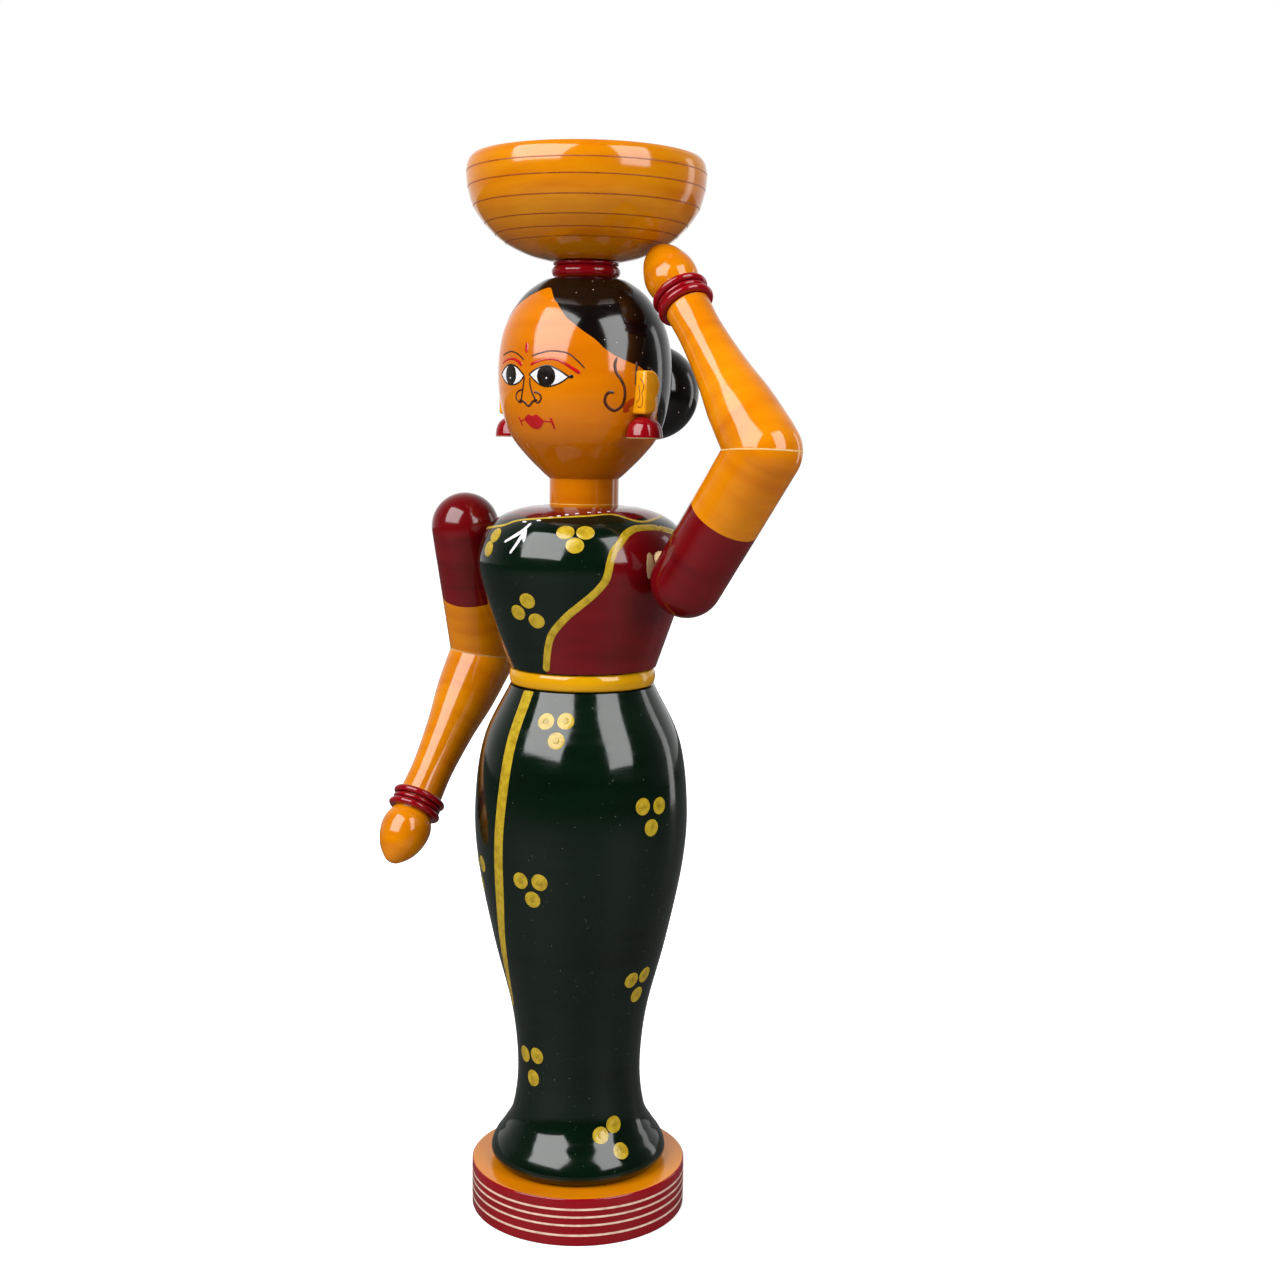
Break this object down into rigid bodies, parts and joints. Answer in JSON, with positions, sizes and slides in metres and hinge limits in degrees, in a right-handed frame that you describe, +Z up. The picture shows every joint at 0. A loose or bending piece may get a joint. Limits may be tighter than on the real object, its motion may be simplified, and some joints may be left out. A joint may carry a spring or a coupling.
{
  "type": "turned wooden doll figurine",
  "caption": "Free-standing turned and lacquered wooden doll of a woman in a sari, one raised hand steadying a hollow bowl on her head, the other arm bent at her side.",
  "frame": {"origin": "centre of the base's underside, on the doll's turning axis", "axes": "+Z up along the turning axis, the face looks along -Y, her left hand is towards +X"},
  "size_m": [0.1543, 0.093, 0.3513],
  "materials": {
    "skin_lacquer": "glossy lacquer on turned wood",
    "green_lacquer": "glossy lacquer on turned wood",
    "maroon_lacquer": "glossy lacquer on turned wood",
    "red_lacquer": "glossy lacquer on turned wood",
    "yellow_lacquer": "glossy lacquer on turned wood",
    "black_lacquer": "glossy lacquer on turned wood",
    "bowl_lacquer": "glossy lacquer on turned wood",
    "bare_wood": "bare turned wood"
  },
  "bodies": {
    "body": {"base_disc": "red_lacquer", "base_dowel": "bare_wood", "skirt": "green_lacquer", "waist_dowel": "bare_wood", "waist_belt": "yellow_lacquer", "torso": "green_lacquer", "shoulder_peg_left": "bare_wood", "shoulder_peg_right": "bare_wood"},
    "head": {"head": "skin_lacquer", "hair_bun": "black_lacquer", "bun_dowel": "bare_wood", "head_ring": "red_lacquer", "bowl_dowel": "bare_wood", "bowl": "bowl_lacquer", "ear_left": "skin_lacquer", "ear_pin_left": "bare_wood", "earring_left": "red_lacquer", "earring_pin_left": "bare_wood", "ear_right": "skin_lacquer", "ear_pin_right": "bare_wood", "earring_right": "red_lacquer", "earring_pin_right": "bare_wood"},
    "left_arm": {"upper_arm_left": "maroon_lacquer", "elbow_dowel_left": "bare_wood", "forearm_left": "skin_lacquer", "hand_left": "skin_lacquer", "bangle_left_1": "red_lacquer", "bangle_left_2": "red_lacquer", "bangle_left_3": "red_lacquer"},
    "right_arm": {"upper_arm_right": "maroon_lacquer", "elbow_dowel_right": "bare_wood", "forearm_right": "skin_lacquer", "hand_right": "skin_lacquer", "bangle_right_1": "red_lacquer", "bangle_right_2": "red_lacquer", "bangle_right_3": "red_lacquer"}
  },
  "joints": [
    {"name": "head_turn", "type": "hinge", "parent": "body", "child": "head", "pos_m": [0, 0, 0.2395], "axis": [0, 0, 1], "range_deg": [-30, 30]},
    {"name": "left_shoulder", "type": "hinge", "parent": "body", "child": "left_arm", "pos_m": [0.05104, -0.00447, 0.224], "axis": [0.9962, -0.0872, 0], "range_deg": [-20, 60]},
    {"name": "right_shoulder", "type": "hinge", "parent": "body", "child": "right_arm", "pos_m": [-0.04669, -0.00677, 0.224], "axis": [-0.9896, -0.1436, 0], "range_deg": [-30, 90]}
  ]
}
